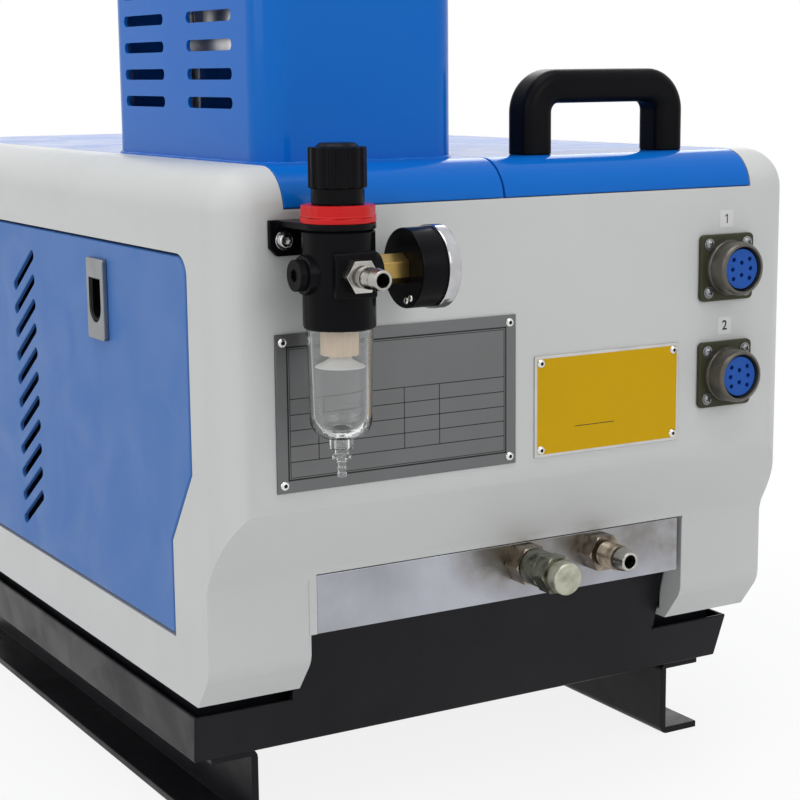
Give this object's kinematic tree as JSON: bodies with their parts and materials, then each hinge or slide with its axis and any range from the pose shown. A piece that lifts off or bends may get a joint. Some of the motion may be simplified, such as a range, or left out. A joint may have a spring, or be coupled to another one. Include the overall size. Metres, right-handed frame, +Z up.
{
  "type": "hot melt glue unit",
  "caption": "Floor standing hot melt glue unit with a heated tank under a hinged lid, an air driven piston pump in a tower, a side door, hose outlets and a filter regulator with gauge.",
  "frame": {"origin": "on the floor, at the middle of the four floor bolts", "axes": "+X across, away from the door; +Y from the hose end to the control end; +Z up"},
  "size_m": [0.363, 0.652, 0.588],
  "materials": {
    "cover_plastic": "fine moulded grain",
    "blue_gloss": "gloss stove enamel",
    "blue_paint": "satin stove enamel",
    "black_paint": "satin black powder coat",
    "black_plastic": "moulded black",
    "aluminium": "machined",
    "steel": "zinc plated",
    "nickel": "turned and plated",
    "chrome_ring": "polished",
    "brass_stem": "turned",
    "seal_rubber": "silicone",
    "yellow_paint": "printed aluminium",
    "olive_paint": "olive finish",
    "blue_plastic": "moulded blue",
    "red_plastic": "moulded red",
    "green_plastic": "moulded green",
    "clear_plastic": "clear moulding",
    "pale_plastic": "moulded pale",
    "needle_paint": "black"
  },
  "bodies": {
    "frame": {"main_cover": "cover_plastic", "pump_deck_cover": "blue_gloss", "tower_cover": "blue_gloss", "rear_top_cover": "blue_gloss", "right_panel": "blue_paint", "left_rail": "black_paint", "right_rail": "black_paint", "base_tray": "black_paint", "sill_frame": "black_paint", "regulator_bracket": "black_paint", "regulator_body": "black_plastic", "gauge_case": "black_plastic", "cable_gland": "black_plastic", "port_plug": "black_plastic", "control_panel": "black_plastic", "tank": "aluminium", "manifold_block": "aluminium", "pump_body": "aluminium", "cylinder_heads": "aluminium", "cylinder_barrel": "aluminium", "data_plate": "aluminium", "air_valve": "aluminium", "lid_hinge_brackets": "steel", "tank_legs": "steel", "pump_posts": "steel", "door_pins": "steel", "panel_screws": "steel", "plate_rivets": "steel", "connector_screws": "steel", "electrics_plate": "steel", "hose_adapters": "nickel", "hose_cap": "nickel", "inlet_barb": "nickel", "gauge_bezel": "chrome_ring", "gauge_stem": "brass_stem", "tank_collar": "seal_rubber", "yellow_plate": "yellow_paint", "connector_shells": "olive_paint", "connector_inserts": "blue_plastic", "regulator_ring": "red_plastic", "filter_bowl": "clear_plastic", "gauge_lens": "clear_plastic", "filter_element": "pale_plastic", "gauge_dial": "pale_plastic"},
    "lid": {"tank_lid": "blue_gloss", "lid_hinge_leaves": "steel", "lid_handle": "black_plastic", "handle_screws": "steel"},
    "door": {"side_door": "blue_paint", "latch_plates": "steel"},
    "front_latch_slider": {"front_latch": "black_plastic"},
    "rear_latch_slider": {"rear_latch": "black_plastic"},
    "spindle": {"regulator_spindle": "steel"},
    "knob": {"regulator_knob": "black_plastic"},
    "needle": {"gauge_needle": "needle_paint"},
    "drain": {"drain_valve": "pale_plastic"},
    "pump": {"pump_rod": "steel"},
    "switch": {"main_switch": "red_plastic"},
    "start": {"start_button": "green_plastic"},
    "stop": {"stop_button": "red_plastic"}
  },
  "joints": [
    {"name": "lid_hinge", "type": "hinge", "parent": "frame", "child": "lid", "pos_m": [0.064, 0.0497, 0.36], "axis": [-1, 0, 0], "range_deg": [0, 100]},
    {"name": "door_tilt", "type": "hinge", "parent": "frame", "child": "door", "pos_m": [-0.1772, 0, 0.1212], "axis": [0, -1, 0], "range_deg": [0, 90]},
    {"name": "front_latch_slide", "type": "slide", "parent": "door", "child": "front_latch_slider", "axis": [0, 0, 1], "range_m": [0, 0.006]},
    {"name": "rear_latch_slide", "type": "slide", "parent": "door", "child": "rear_latch_slider", "axis": [0, 0, 1], "range_m": [0, 0.006]},
    {"name": "pressure_turn", "type": "hinge", "parent": "frame", "child": "spindle", "pos_m": [-0.132, -0.311, 0.35], "axis": [0, 0, -1], "range_deg": [0, 1080]},
    {"name": "knob_pull", "type": "slide", "parent": "spindle", "child": "knob", "axis": [0, 0, 1], "range_m": [0, 0.004]},
    {"name": "needle_turn", "type": "hinge", "parent": "frame", "child": "needle", "pos_m": [-0.081, -0.311, 0.3094], "axis": [-1, 0, 0], "range_deg": [0, 270]},
    {"name": "drain_push", "type": "slide", "parent": "frame", "child": "drain", "axis": [0, 0, 1], "range_m": [0, 0.003], "stiffness_N_per_m": 300},
    {"name": "pump_stroke", "type": "slide", "parent": "frame", "child": "pump", "axis": [0, 0, 1], "range_m": [0, 0.04]},
    {"name": "switch_turn", "type": "hinge", "parent": "frame", "child": "switch", "pos_m": [-0.084, 0.283, 0.27], "axis": [0, 1, 0], "range_deg": [0, 90]},
    {"name": "start_push", "type": "slide", "parent": "frame", "child": "start", "axis": [0, -1, 0], "range_m": [0, 0.003], "stiffness_N_per_m": 600},
    {"name": "stop_push", "type": "slide", "parent": "frame", "child": "stop", "axis": [0, -1, 0], "range_m": [0, 0.003], "stiffness_N_per_m": 600}
  ]
}
